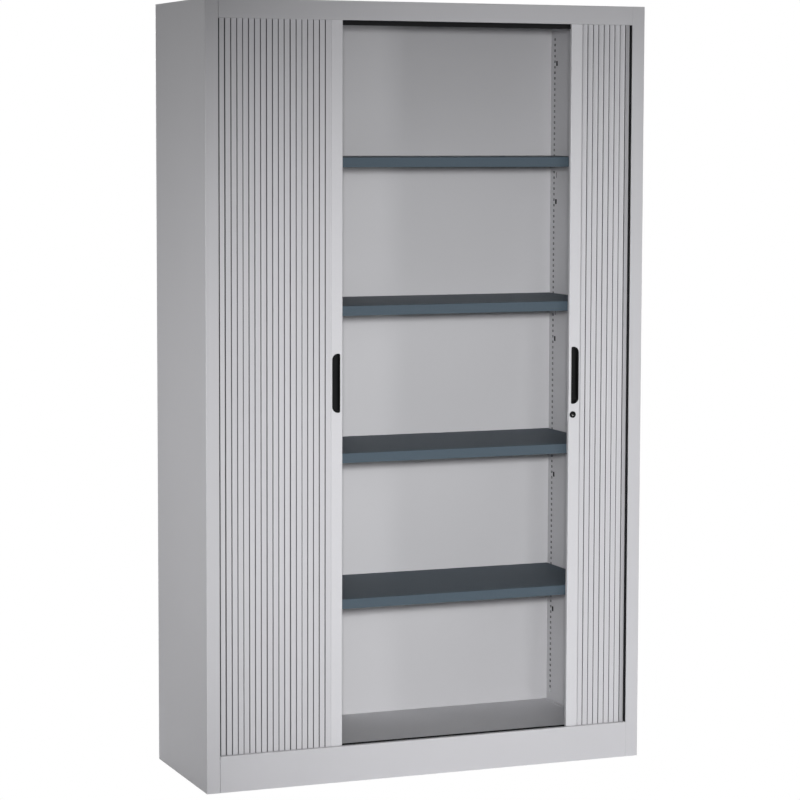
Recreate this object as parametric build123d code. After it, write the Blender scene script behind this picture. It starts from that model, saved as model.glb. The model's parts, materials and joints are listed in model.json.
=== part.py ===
"""Tall steel cabinet with two roll-front doors that run round the front corners into side pockets.

Millimetres. +Z is up, the doors face -Y, and the origin is on the floor under the middle of the case.
Everything on the left is modelled once and mirrored for the right where the two sides are alike.
"""
import os
from math import atan2, ceil, cos, degrees, hypot, pi, radians, sin

from build123d import *

# Case
case_width = 1200
case_depth = 420
case_height = 1980
sheet = 1.0                  # folded steel
bend = 2.2                   # outer radius of a fold that shows
seam = 0.2                   # between two folded panels that meet
post_width = 35              # front face of each side panel
post_return = 10             # how far a front edge folds back
header_height = 48
plinth_height = 93
rear_flange = 20
top_flange = 14
rail_end_flange = 9          # folded ends of header and plinth, against the post returns
back_recess = 18             # back panel's face in from the rear flanges
back_border = 21             # flat border round the dished back panel
rear_rail_height = 60
floor_drop = 11              # floor below the plinth's top edge
ceiling_rise = 12            # ceiling above the header's lower edge
panel_turn = 18              # turned edges of floor and ceiling

# Roll-front curtain
slat_pitch = 15.5
slat_face = 4.6              # hinge line to the visible face
slat_back = 2.9              # hinge line to the back
slat_plate = 1.5
plate_gap = 1.0              # between two neighbouring faces
plate_round = 1.1
bead_radius = 1.5
socket_wall = 1.1
hinge_play = 0.3
neck_half = 0.7
mouth_angles = (-56, 28)     # opening of a socket, from the way the slats run
socket_gap = 0.5             # ring to the next slat's body
weld = 0.2                   # overlap where two features of one piece run together
curtain_setback = 11.4       # visible face behind the front of the case
side_gap = 9                 # hinge line in from the side panel
corner_radius = 45
turn_radius = 32             # half turn at the back of each pocket
return_run = 220

# Tracks
track_wall = 1.5
track_height = 9.5
track_play_out = 0.55
track_play_in = 1.5
track_skirt = 14.5           # skirt behind the front top track hangs this much lower
skirt_sheet = 1.5
skirt_leg = 16
back_gap = 1.35              # track to back panel
slat_foot_gap = 0.3
slat_head_gap = 1.0

# Doors, as they stand part open
left_edge = -235
right_edge = 395.6
meeting_gap = 0.6
bar_width = 31
bar_depth = 12
bar_wall = 1.2
bar_round = 2.0
bar_arm = 2.4                # thickness of the arm that carries the bar's socket
bar_foot_gap = 0.8
bar_head_gap = 1.0
shoe_plug = 14
shoe_fit = 0.3

# Handle cups
handle_height = 150
handle_width = 21.5
handle_middle = 1022
handle_edge = 6.5            # from the bar's free edge
handle_rim = 0.8
handle_overlap = 2.0         # rim over the bar's face
handle_wall = 1.3
handle_depth = 9.0
handle_corner = 4
handle_curve = 15.5
handle_fit = 0.2

# Lock
lock_height = 919
lock_edge = 11.4             # from the bar's free edge
bezel_radius = 8.7
bezel_height = 2.5
bezel_round = 1.0
housing_radius = 7.0
barrel_radius = 5.5
barrel_proud = 0.4
barrel_play = 0.05
keyway = (1.2, 6.0, 3.0)     # width, length, depth
cam_length = 22
cam_width = 8.5
cam_sheet = 1.6
cam_tail_radius = 3.0
cam_play = 0.4
cam_slot_spare = 2
cam_screw_radius = 4.0
cam_screw_head = 1.7
strike_sheet = 1.0
strike_margin = 10

# Liners, shelves and their clips
liner_gap = 0.35
liner_foot = 12
liner_front_gap = 40         # liner's front edge behind the front of the case
liner_front_flange = 51
slot_width = 3.6
slot_height = 5.0
slot_pitch = 15
first_slot = 120
slot_count = 120
slot_column_inset = 24
key_slot_width = 5
key_slot_height = 15
key_slot_inset = 38
key_slot_drop = 2.5          # below a shelf's slot, in slot pitches
shelf_slots = (22, 47, 72, 97)
shelf_above_slot = 15
shelf_lip = 25
shelf_round = 1.5
shelf_end_gap = 4
shelf_front_gap = 35
shelf_rear_gap = 5
shelf_hem = 12
clip_width = 14
clip_sheet = 1.6
clip_ledge = 12
clip_tooth = 3
clip_above_slot = 5
clip_tooth_gap = 0.3

# Feet and fasteners
foot_radius = 16
foot_pad = 6
stud_radius = 5
stud_top = 60
stud_play = 0.05
bracket_height = 30
bracket_sheet = 3
bracket_size = 60
bracket_flange = 22
foot_inset_x = 38
foot_inset_y = 34
nut_width = 17
nut_height = 8
screw_radius = 1.9
screw_play = 0.1
screw_head_radius = 3.5
screw_head = 1.0
screw_length = 7
countersunk_radius = 3.3
rear_screw_count = 6
floor_screw_count = 4
liner_screw_inset = 30
track_screw_inset = 50
screw_slot = 0.8

# Places worked out from the sizes above
half_width = case_width / 2
front = -case_depth / 2
rear = case_depth / 2 - screw_head
inner_half = half_width - post_width
back_face = rear - sheet - back_recess
floor_top = plinth_height - floor_drop
header_bottom = case_height - header_height
ceiling_under = header_bottom + ceiling_rise

hinge_y = front + curtain_setback + slat_face
side_x = half_width - sheet - side_gap
corner_x = side_x - corner_radius
corner_y = hinge_y + corner_radius
track_out = slat_face + track_play_out + track_wall
track_in = slat_back + track_play_in + track_wall
return_x = side_x - 2 * turn_radius
turn_x = side_x - turn_radius
turn_y = back_face - back_gap - track_out - turn_radius
liner_x = return_x - track_out - liner_gap
liner_front = front + liner_front_gap

slat_bottom = floor_top + track_wall + slat_foot_gap
slat_top = ceiling_under - track_wall - slat_head_gap
bar_bottom = floor_top + track_height + bar_foot_gap
bar_top = ceiling_under - track_height - bar_head_gap
bar_shoulder = bar_top - track_skirt
bar_front = hinge_y - slat_face
bar_back = bar_front + bar_depth
ring_radius = bead_radius + hinge_play + socket_wall
bar_start = ring_radius + socket_gap
shoe_front = bar_front + shoe_fit
shoe_back = hinge_y + slat_back + track_play_in - shoe_fit
slat_count = ceil((corner_x - meeting_gap / 2 - bar_width) / slat_pitch) + 2

shelf_half = liner_x - sheet - shelf_end_gap
shelf_front = front + shelf_front_gap
shelf_rear = back_face - shelf_rear_gap
shelf_tops = [first_slot + slot_pitch * slot + shelf_above_slot for slot in shelf_slots]
slot_columns = (liner_front + slot_column_inset, back_face - slot_column_inset)
foot_x = half_width - foot_inset_x
foot_front_y = front + sheet + post_return + foot_inset_y
foot_rear_y = back_face - foot_inset_y


def block(x0, x1, y0, y1, z0, z1):
    """Box between two corners."""
    return Pos((x0 + x1) / 2, (y0 + y1) / 2, (z0 + z1) / 2) * Box(x1 - x0, y1 - y0, z1 - z0)


def rod(radius, height, place, rotation=(0, 0, 0)):
    """Cylinder that starts at a place and runs along its turned +Z."""
    stood = (Align.CENTER, Align.CENTER, Align.MIN)
    return Pos(*place) * Rot(*rotation) * Cylinder(radius, height, align=stood)


def mirrored(shape):
    return mirror(shape, about=Plane.YZ)


def both_sides(shape):
    return [shape, mirrored(shape)]


def bent(sketch, *folds):
    """Section with its folds rounded: each fold gives the outer corner and the way to the inner one."""
    for (x, y), (in_x, in_y) in folds:
        outer = sketch.vertices().sort_by_distance((x, y))[0]
        sketch = fillet(outer, bend)
        inner = sketch.vertices().sort_by_distance((x + in_x * sheet, y + in_y * sheet))[0]
        sketch = fillet(inner, bend - sheet)
    return sketch


def rectangle(x0, x1, y0, y1):
    """Rectangle between two corners."""
    return Pos((x0 + x1) / 2, (y0 + y1) / 2) * Rectangle(x1 - x0, y1 - y0)


def across(section, half):
    """Solid of a section drawn in Y and Z, as wide as two halves."""
    return Pos(-half, 0, 0) * extrude(Plane.YZ * section, amount=2 * half)


def upright(sketch, y, depth):
    """Solid of a sketch drawn in X and Z, from y towards the back."""
    return Pos(0, y + depth, 0) * extrude(Plane.XZ * sketch, amount=depth)


def save(name, *shapes):
    solids = [solid for shape in shapes for solid in shape.solids()]
    body = solids[0] if len(solids) == 1 else Compound(solids)
    export_step(body, f"parts/{name}.step")


# Screws and their places

def screw_places(span, count):
    """Evenly spaced places over a span, half a step in from its ends."""
    step = span / count
    return [-span / 2 + step * (index + 0.5) for index in range(count)]


rear_screw_span = case_height - header_height
rear_screw_heights = [case_height / 2 + z for z in screw_places(rear_screw_span, rear_screw_count)]
rear_screw_x = half_width - rear_flange / 2
top_screw_x = screw_places(case_width, floor_screw_count)
top_screw_z = case_height - rear_flange / 2 - sheet
rail_screw_y = front + sheet + post_return / 2
rail_screw_heights = (0.2 * plinth_height, 0.65 * plinth_height, case_height - header_height / 2)
liner_screw_y = (liner_front + liner_screw_inset, 0, back_face - 2 * liner_screw_inset)
skirt_screw_y = hinge_y + track_in + skirt_leg / 2
liner_screw_x = liner_x - sheet - liner_foot / 2
track_screw_x = screw_places(2 * corner_x, floor_screw_count)
side_track_screw_y = (corner_y + track_screw_inset, turn_y - track_screw_inset)


def pan_screw(place, rotation):
    """Pan-head screw: the head stands on the place, the shank runs back from it."""
    shank = rod(screw_radius, screw_length, (0, 0, -screw_length))
    head = rod(screw_head_radius, screw_head, (0, 0, 0))
    head = fillet(head.edges().group_by(Axis.Z)[-1], screw_head / 2)
    reach = 2 * screw_head_radius
    slot = block(-reach, reach, -screw_slot / 2, screw_slot / 2, screw_head / 2, 2 * screw_head)
    return Pos(*place) * Rot(*rotation) * (head + shank - slot)


def screw_hole(place, rotation):
    """Clearance hole for a pan-head screw, through the sheets behind its head."""
    hole = rod(screw_radius + screw_play, 2 * screw_length, (0, 0, -screw_length))
    return Pos(*place) * Rot(*rotation) * hole


def countersunk(place, up, play=0.0):
    """Countersunk track screw, or the hole for it, with its head level with the place."""
    head = Pos(0, 0, -track_wall / 2) * Cone(screw_radius + play, countersunk_radius + play, track_wall)
    shank = rod(screw_radius + play, screw_length, (0, 0, -screw_length))
    return Pos(*place) * Rot(0 if up else 180, 0, 0) * (head + shank)


back_to_y = (-90, 0, 0)      # a screw's head points to the rear
rear_screws = [((side * rear_screw_x, rear, z), back_to_y) for side in (-1, 1) for z in rear_screw_heights]
rear_screws += [((x, rear, top_screw_z), back_to_y) for x in top_screw_x]
rail_screws = [
    ((side * (inner_half - seam - sheet), rail_screw_y, z), (0, -90 * side, 0))
    for side in (-1, 1) for z in rail_screw_heights
]
liner_screws = [
    ((side * liner_screw_x, y, level), (turn, 0, 0))
    for side in (-1, 1) for y in liner_screw_y
    for level, turn in ((floor_top + sheet, 0), (ceiling_under - sheet, 180))
]
skirt_screws = [((x, skirt_screw_y, ceiling_under - skirt_sheet), (180, 0, 0)) for x in track_screw_x]
corner_middle = (corner_x + corner_radius * cos(pi / 4), corner_y - corner_radius * sin(pi / 4))
track_screw_spots = [(x, hinge_y) for x in track_screw_x]
track_screw_spots += [
    (side * x, y) for side in (-1, 1)
    for x, y in [corner_middle] + [(side_x, y) for y in side_track_screw_y]
]
floor_screw_level = floor_top + track_wall
ceiling_screw_level = ceiling_under - track_wall


def drilled(shape, screws):
    for place, rotation in screws:
        shape -= screw_hole(place, rotation)
    return shape


def countersink_all(shape, level, up):
    for x, y in track_screw_spots:
        shape -= countersunk((x, y, level), up, screw_play)
    return shape


# Case panels

def side_panel(side):
    """Left side panel: wall, front post with its return, rear flange, top and bottom flanges."""
    wall = rectangle(-half_width, -half_width + sheet, front, rear)
    post = rectangle(-half_width, -inner_half, front, front + sheet)
    edge = rectangle(-inner_half - sheet, -inner_half, front, front + sheet + post_return)
    back = rectangle(-half_width, -half_width + rear_flange, rear - sheet, rear)
    section = bent(wall + post + edge + back, ((-half_width, front), (1, 1)), ((-inner_half, front), (-1, 1)),
                   ((-half_width, rear), (1, -1)))
    flange_front = front + sheet + post_return + seam
    flange_rear = rear - 2 * sheet - seam
    flange_end = -half_width + sheet + top_flange
    crown_top = case_height - sheet
    crown = block(-half_width, flange_end, flange_front, flange_rear, crown_top - sheet, crown_top)
    base = block(-half_width, flange_end, flange_front, flange_rear, 0, sheet)
    panel = extrude(section, amount=case_height) + crown + base
    panel = panel if side < 0 else mirrored(panel)
    return drilled(panel, [screw for screw in rear_screws + rail_screws if screw[0][0] * side > 0])


def rail_ends(z0, z1):
    """Folded ends of a front rail, against the post returns."""
    outer = -inner_half + seam
    end = block(outer, outer + sheet, front, front + sheet + rail_end_flange, z0, z1)
    return end + mirrored(end)


def top_panel():
    """Top sheet with the header folded down in front of it and a rear flange."""
    reach = inner_half - seam
    low = case_height - sheet
    behind_post = front + sheet + post_return + seam
    wall = half_width - sheet - seam
    top = block(-wall, wall, behind_post, rear - bend - seam, low, case_height)
    beside_return = inner_half + sheet + seam
    cover = block(beside_return, wall - bend, front + sheet + seam, behind_post, low, case_height)
    strip = rectangle(front, behind_post, low, case_height)
    face = rectangle(front, front + sheet, header_bottom, case_height)
    edge = rectangle(front, front + post_return, header_bottom, header_bottom + sheet)
    header = bent(strip + face + edge, ((front, case_height), (1, -1)), ((front, header_bottom), (1, 1)))
    back_reach = half_width - rear_flange - seam
    lap = rectangle(rear - bend - sheet, rear, low, case_height)
    drop = rectangle(rear - sheet, rear, low - rear_flange, case_height)
    back = bent(lap + drop, ((rear, case_height), (-1, -1)))
    ends = rail_ends(header_bottom, case_height)
    panel = top + cover + mirrored(cover) + across(header, reach) + across(back, back_reach) + ends
    return drilled(panel, [screw for screw in rear_screws + rail_screws if screw[0][2] > header_bottom])


def plinth_front():
    reach = inner_half - seam
    face = rectangle(front, front + sheet, 0, plinth_height)
    edge = rectangle(front, front + post_return, plinth_height - sheet, plinth_height)
    foot = rectangle(front, front + post_return, 0, sheet)
    section = bent(face + edge + foot, ((front, plinth_height), (1, -1)))
    low_ends = rail_ends(0, floor_top - 2 * sheet)
    low_screws = [screw for screw in rail_screws if screw[0][2] < plinth_height]
    return drilled(across(section, reach) + low_ends, low_screws)


def plinth_rear():
    reach = half_width - bend - seam
    web_rear = rear - sheet
    web = block(-reach, reach, web_rear - sheet, web_rear, sheet, rear_rail_height)
    inner_reach = half_width - sheet - top_flange - seam
    top = block(-reach, reach, back_face, web_rear, rear_rail_height - sheet, rear_rail_height)
    foot = block(-inner_reach, inner_reach, back_face, web_rear, 0, sheet)
    foot_web = block(-inner_reach, inner_reach, web_rear - sheet, web_rear, 0, 2 * sheet)
    low_screws = [screw for screw in rear_screws if screw[0][2] < rear_rail_height]
    return drilled(web + top + foot + foot_web, low_screws)


def back_panel():
    """Dished back panel, whose flat border lies against the rear flanges."""
    reach = half_width - bend - seam
    bottom = rear_rail_height + seam
    top = case_height - 2 * sheet - seam
    border_rear = rear - sheet
    border = block(-reach, reach, border_rear - sheet, border_rear, bottom, top)
    dish_half = reach - back_border
    dish = block(-dish_half, dish_half, back_face, border_rear, bottom + back_border, top - back_border)
    hollow = block(-dish_half + sheet, dish_half - sheet, back_face + sheet, rear,
                   bottom + back_border + sheet, top - back_border - sheet)
    high_screws = [screw for screw in rear_screws if screw[0][2] > rear_rail_height]
    return drilled(border + dish - hollow, high_screws)


def deck(low, high, turn_low, turn_high):
    """Floor or ceiling: a sheet between the side panels with turned edges, notched round the posts."""
    reach = half_width - sheet - seam
    y_front = front + sheet + seam
    y_rear = back_face - seam
    tray = block(-reach, reach, y_front, y_rear, low, high)
    notch_rear = front + sheet + post_return + seam
    notch = block(inner_half - 2 * seam - sheet, half_width, front, notch_rear, low, high)
    tray -= notch
    tray -= mirrored(notch)
    front_reach = inner_half - 2 * seam - sheet
    tray += block(-front_reach, front_reach, y_front, y_front + sheet, turn_low, turn_high)
    tray += block(-reach, reach, y_rear - sheet, y_rear, turn_low, turn_high)
    side = block(-reach, -reach + sheet, notch_rear, y_rear, turn_low, turn_high)
    return tray + side + mirrored(side)


def floor_panel():
    panel = deck(floor_top - sheet, floor_top, floor_top - panel_turn, floor_top)
    panel = countersink_all(panel, floor_screw_level, True)
    return drilled(panel, [screw for screw in liner_screws if screw[0][2] < plinth_height])


def ceiling_panel():
    panel = deck(ceiling_under, ceiling_under + sheet, ceiling_under, ceiling_under + panel_turn)
    panel = countersink_all(panel, ceiling_screw_level, False)
    return drilled(panel, skirt_screws + [screw for screw in liner_screws if screw[0][2] > plinth_height])


# Tracks

def track_outline(down):
    """U section of a track: X runs outwards from the hinge line, Y up from the deck it lies on."""
    across = track_out + track_in
    middle = (track_out - track_in) / 2
    outline = Pos(middle, track_height / 2) * Rectangle(across, track_height)
    channel = Rectangle(across - 2 * track_wall, track_height)
    outline -= Pos(middle, track_height / 2 + track_wall) * channel
    return mirror(outline, about=Plane.XZ) if down else outline


def track_level(down):
    return ceiling_under if down else floor_top


def front_track(down):
    plane = Plane(origin=(-corner_x, hinge_y, track_level(down)), x_dir=(0, -1, 0), z_dir=(-1, 0, 0))
    track = extrude(plane * track_outline(down), amount=-2 * corner_x)
    level = ceiling_screw_level if down else floor_screw_level
    return countersink_all(track, level, not down)


def top_track_skirt():
    """Angle strip behind the front top track that hangs lower than it and hides the slats' ends."""
    y = hinge_y + track_in
    low = bar_shoulder + bar_head_gap
    leg = rectangle(y, y + skirt_sheet, low, ceiling_under) + rectangle(
        y, y + skirt_leg, ceiling_under - skirt_sheet, ceiling_under)
    return drilled(across(leg, corner_x), skirt_screws)


def curved_track(x, y, radius, start, sweep_angle, down):
    """Track round an upright axis, from one direction seen from above through an angle."""
    outward = (cos(start), sin(start), 0)
    origin = (x + radius * outward[0], y + radius * outward[1], track_level(down))
    plane = Plane(origin=origin, x_dir=outward, z_dir=(outward[1], -outward[0], 0))
    centre = Axis((x, y, 0), (0, 0, 1))
    return revolve(plane * track_outline(down), axis=centre, revolution_arc=sweep_angle)


def corner_track(side, down):
    track = curved_track(-corner_x, corner_y, corner_radius, pi, 90, down)
    track = track if side < 0 else mirrored(track)
    level = ceiling_screw_level if down else floor_screw_level
    return countersink_all(track, level, not down)


def side_track(side, down):
    """Straight run beside the side panel, the half turn at the back and the run behind the liner."""
    section = track_outline(down)
    z = track_level(down)
    outer = Plane(origin=(-side_x, corner_y, z), x_dir=(-1, 0, 0), z_dir=(0, 1, 0))
    inner = Plane(origin=(-return_x, turn_y, z), x_dir=(1, 0, 0), z_dir=(0, -1, 0))
    track = extrude(outer * section, amount=turn_y - corner_y)
    track += curved_track(-turn_x, turn_y, turn_radius, 0, 180, down)
    track += extrude(inner * section, amount=return_run)
    track = track if side < 0 else mirrored(track)
    level = ceiling_screw_level if down else floor_screw_level
    return countersink_all(track, level, not down)


# Curtain

def socket_ring():
    """Open ring that holds the bead of the next slat."""
    ring = Circle(ring_radius) - Circle(bead_radius + hinge_play)
    start, end = (radians(angle) for angle in mouth_angles)
    rays = [2 * ring_radius * Vector(cos(angle), sin(angle)) for angle in (start, (start + end) / 2, end)]
    return ring - Polygon((0, 0), *rays, align=None)


def slat_section():
    """Section of a slat: X from its bead to the next slat's bead, Y towards the visible face."""
    body_start = bar_start
    body_end = slat_pitch - bead_radius - hinge_play - weld
    plate_low = slat_face - slat_plate
    body = Pos((body_start + body_end) / 2, (plate_low - slat_back) / 2) * Rectangle(
        body_end - body_start, plate_low + slat_back)
    ring = Pos(slat_pitch, 0) * socket_ring()
    body -= Pos(slat_pitch, 0) * Circle(bead_radius + hinge_play)
    bead = Circle(bead_radius)
    neck_end = body_start + weld
    neck = Pos(neck_end / 2, 0) * Rectangle(neck_end, 2 * neck_half)
    plate_width = slat_pitch - plate_gap
    plate = Pos(slat_pitch / 2, slat_face - slat_plate / 2) * Rectangle(plate_width, slat_plate)
    plate = fillet(plate.vertices().group_by(Axis.Y)[-1], plate_round)
    return bead + neck + body + ring + plate


def along_track(travel, straight):
    """Hinge-line point of the left door at a travel from its bar, straight at first and then round."""
    if travel < straight:
        return -corner_x - travel + straight, hinge_y
    travel -= straight
    if travel < corner_radius * pi / 2:
        angle = travel / corner_radius
        return -corner_x - corner_radius * sin(angle), corner_y - corner_radius * cos(angle)
    travel -= corner_radius * pi / 2
    if travel < turn_y - corner_y:
        return -side_x, corner_y + travel
    travel -= turn_y - corner_y
    if travel < turn_radius * pi:
        angle = travel / turn_radius
        return -turn_x - turn_radius * cos(angle), turn_y + turn_radius * sin(angle)
    return -return_x, turn_y - travel + turn_radius * pi


def next_hinge(travel, straight):
    """Travel at which the straight distance from the last hinge is one slat pitch."""
    x, y = along_track(travel, straight)
    low, high = travel + slat_pitch, travel + 1.2 * slat_pitch
    for _ in range(40):
        middle = (low + high) / 2
        next_x, next_y = along_track(middle, straight)
        if hypot(next_x - x, next_y - y) < slat_pitch:
            low = middle
        else:
            high = middle
    return high


def curtain(edge):
    """Slats of a left door whose bar has its free edge there, sorted into front, corner and side groups."""
    slat = extrude(slat_section(), amount=slat_top - slat_bottom)
    straight = corner_x + edge - bar_width
    corner_end = straight + corner_radius * pi / 2
    groups = {"front": [], "corner": [], "side": []}
    travel = 0
    for _ in range(slat_count):
        following = next_hinge(travel, straight)
        x, y = along_track(travel, straight)
        next_x, next_y = along_track(following, straight)
        turn = degrees(atan2(next_y - y, next_x - x))
        placed = Pos(x, y, slat_bottom) * Rot(0, 0, turn) * slat
        if travel < straight - 0.001:
            groups["front"].append(placed)
        elif travel < corner_end:
            groups["corner"].append(placed)
        else:
            groups["side"].append(placed)
        travel = following
    return groups


# End bars, handles and lock

def bar_section(edge, back):
    """Hollow section of a left door's end bar, with the socket that holds the first slat."""
    hinge_x = edge - bar_width
    start = hinge_x + bar_start
    outer = Pos((start + edge) / 2, (bar_front + back) / 2) * Rectangle(edge - start, back - bar_front)
    outer = fillet(outer.vertices().group_by(Axis.X)[-1], bar_round)
    lip_start = hinge_x + plate_gap / 2
    lip_end = start + bar_wall
    lip = Rectangle(lip_end - lip_start, slat_plate)
    lip = Pos((lip_start + lip_end) / 2, bar_front + slat_plate / 2) * lip
    lip = fillet(lip.vertices().sort_by_distance((lip_start, bar_front, 0))[0], plate_round)
    arm_start = hinge_x + bead_radius + hinge_play + weld
    arm = Pos((arm_start + start) / 2, hinge_y) * Rectangle(start - arm_start + 2 * weld, bar_arm)
    ring = Pos(hinge_x, hinge_y) * Rot(0, 0, 180) * socket_ring()
    hollow = Pos((start + edge) / 2, (bar_front + back) / 2) * Rectangle(
        edge - start - 2 * bar_wall, back - bar_front - 2 * bar_wall)
    return outer + lip + arm + ring - hollow


def end_bar(edge):
    """End bar of a left door: full depth below the top track's skirt, and thinner beside it."""
    main = Pos(0, 0, bar_bottom) * extrude(bar_section(edge, bar_back), amount=bar_shoulder - bar_bottom)
    head = Pos(0, 0, bar_shoulder) * extrude(bar_section(edge, shoe_back), amount=bar_top - bar_shoulder)
    bar = main + head
    opening = handle_outline(edge, handle_overlap - handle_fit)
    return bar - upright(opening, bar_front - bar_wall, 3 * bar_wall)


def guide_shoes(edge):
    """Plastic shoes that plug into the bar's two ends and run in the tracks."""
    x0 = edge - bar_width + bar_start + bar_wall + shoe_fit
    x1 = edge - bar_wall - shoe_fit
    plug_front = bar_front + bar_wall + shoe_fit
    plug_back = shoe_back - bar_wall - shoe_fit
    foot = block(x0, x1, shoe_front, shoe_back, slat_bottom, bar_bottom)
    foot += block(x0, x1, plug_front, plug_back, bar_bottom, bar_bottom + shoe_plug)
    head = block(x0, x1, shoe_front, shoe_back, bar_top, slat_top)
    head += block(x0, x1, plug_front, plug_back, bar_top - shoe_plug, bar_top)
    return foot, head


def handle_outline(edge, inset):
    """Outline of a handle cup, square towards the bar's free edge and rounded towards the slats."""
    width, height = handle_width - 2 * inset, handle_height - 2 * inset
    outline = Rectangle(width, height)
    outline = fillet(outline.vertices().group_by(Axis.X)[-1], handle_corner - inset / 2)
    outline = fillet(outline.vertices().group_by(Axis.X)[0], handle_curve - inset)
    return Pos(edge - handle_edge - handle_width / 2, handle_middle) * outline


def handle_cup(edge):
    rim = upright(handle_outline(edge, 0), bar_front - handle_rim, handle_rim)
    rim = fillet(rim.edges().group_by(Axis.Y)[0], handle_rim / 2)
    cup = upright(handle_outline(edge, handle_overlap), bar_front - weld, handle_depth + weld)
    recess_depth = handle_rim + handle_depth - handle_wall
    recess = upright(handle_outline(edge, handle_overlap + handle_wall), bar_front - handle_rim, recess_depth)
    return rim + cup - recess


lock_x = right_edge + lock_edge
cam_front = bar_back - bar_wall - cam_play - cam_screw_head - cam_sheet


def lock_housing():
    tube_end = cam_front - cam_play
    bezel = rod(bezel_radius, bezel_height, (lock_x, bar_front - bezel_height, lock_height), back_to_y)
    bezel = fillet(bezel.edges().group_by(Axis.Y)[0], bezel_round)
    tube = rod(housing_radius, tube_end - bar_front, (lock_x, bar_front, lock_height), back_to_y)
    bore = rod(barrel_radius + barrel_play, case_depth / 2, (lock_x, front, lock_height), back_to_y)
    return bezel + tube - bore


def lock_barrel():
    start = bar_front - bezel_height - barrel_proud
    barrel = rod(barrel_radius, cam_front - start, (lock_x, start, lock_height), back_to_y)
    tail = rod(cam_tail_radius, cam_sheet, (lock_x, cam_front, lock_height), back_to_y)
    width, length, depth = keyway
    slot = block(lock_x - width / 2, lock_x + width / 2, start, start + depth,
                 lock_height - length / 2, lock_height + length / 2)
    return barrel + tail - slot


def lock_cam():
    """Cam that hangs down when unlocked and swings towards the other door."""
    arm = Pos(lock_x, lock_height - cam_length / 2) * Rectangle(cam_width, cam_length)
    cam = arm + Pos(lock_x, lock_height) * Circle(cam_width / 2)
    cam = upright(cam, cam_front, cam_sheet)
    return cam - rod(cam_tail_radius + barrel_play, cam_sheet, (lock_x, cam_front, lock_height), back_to_y)


def cam_screw():
    start = cam_front + cam_sheet
    head = rod(cam_screw_radius, cam_screw_head, (lock_x, start, lock_height), back_to_y)
    return head - block(lock_x - screw_slot / 2, lock_x + screw_slot / 2,
                        start + cam_screw_head / 2, start + cam_screw_head,
                        lock_height - cam_screw_radius, lock_height + cam_screw_radius)


def cam_slot(edge, direction):
    """Cut in a bar's free edge that lets the cam swing through it."""
    reach = bar_wall + strike_sheet + bar_round
    x0, x1 = sorted((edge - direction * reach, edge + direction))
    return block(x0, x1, cam_front - cam_play, cam_front + cam_sheet + cam_play,
                 lock_height - cam_length + cam_play, lock_height + cam_width / 2 + cam_slot_spare)


def strike_plate():
    x1 = left_edge - bar_wall
    inset = bar_wall + cam_play
    plate = block(x1 - strike_sheet, x1, bar_front + inset, bar_back - inset,
                  lock_height - cam_length - strike_margin, lock_height + cam_width + strike_margin)
    return plate - cam_slot(left_edge, 1)


# Liners, shelves and clips

def liner(side):
    """Perforated inner side wall with a front flange and feet turned inwards."""
    wall = block(-liner_x, -liner_x + sheet, liner_front, back_face - seam, floor_top, ceiling_under)
    cover = block(-liner_x - liner_front_flange, -liner_x, liner_front, liner_front + sheet,
                  floor_top + track_height, ceiling_under - track_height)
    foot = block(-liner_x, -liner_x + sheet + liner_foot, liner_front + sheet, back_face - seam, floor_top,
                 floor_top + sheet)
    head = block(-liner_x, -liner_x + sheet + liner_foot, liner_front + sheet, back_face - seam,
                 ceiling_under - sheet, ceiling_under)
    middle_z = first_slot + slot_pitch * (slot_count - 1) / 2
    slots = Sketch()
    for y in slot_columns:
        column = GridLocations(slot_pitch, slot_pitch, 1, slot_count)
        slots += Pos(y, middle_z) * column * Rectangle(slot_width, slot_height)
    key_slots = [top - shelf_above_slot - key_slot_drop * slot_pitch for top in shelf_tops]
    for z in key_slots:
        for y in (liner_front + key_slot_inset, back_face - key_slot_inset):
            slots += Pos(y, z) * Rectangle(key_slot_width, key_slot_height)
    cuts = extrude(Plane.YZ * slots, amount=3 * sheet)
    panel = wall + cover + foot + head - Pos(-liner_x - sheet, 0, 0) * cuts
    panel = panel if side < 0 else mirrored(panel)
    return drilled(panel, [screw for screw in liner_screws if screw[0][0] * side > 0])


def shelf(top):
    """Shelf folded down on four sides, with a hem under its front and rear edges."""
    tray = block(-shelf_half, shelf_half, shelf_front, shelf_rear, top - shelf_lip, top)
    tray = fillet(tray.edges().filter_by(Axis.X).group_by(Axis.Z)[-1].sort_by(Axis.Y)[0], shelf_round)
    tray -= block(-shelf_half + sheet, shelf_half - sheet, shelf_front + sheet, shelf_rear - sheet,
                  top - shelf_lip, top - sheet)
    low = top - shelf_lip
    for y0, y1 in ((shelf_front, shelf_front + shelf_hem), (shelf_rear - shelf_hem, shelf_rear)):
        tray += block(-shelf_half, shelf_half, y0, y1, low, low + sheet)
    return tray


def shelf_clips(top):
    """Four clips: a tooth in a slot of the liner, a back plate and the ledge that the shelf rests on."""
    face_x = -liner_x + sheet
    low = top - shelf_lip - clip_sheet
    slot_z = top - shelf_above_slot
    clips = []
    for y in slot_columns:
        plate = block(face_x, face_x + clip_sheet, y - clip_width / 2, y + clip_width / 2,
                      low, slot_z + clip_above_slot)
        ledge = block(face_x, face_x + shelf_end_gap + clip_ledge, y - clip_width / 2, y + clip_width / 2,
                      low, low + clip_sheet)
        tooth_half, tooth_tall = slot_width / 2 - clip_tooth_gap, slot_height / 2 - clip_tooth_gap
        tooth = block(face_x - sheet - clip_tooth, face_x, y - tooth_half, y + tooth_half,
                      slot_z - tooth_tall, slot_z + tooth_tall)
        clips += both_sides(plate + ledge + tooth)
    return clips


# Feet

def foot_spots():
    return [(side * foot_x, y) for side in (-1, 1) for y in (foot_front_y, foot_rear_y)]


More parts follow.
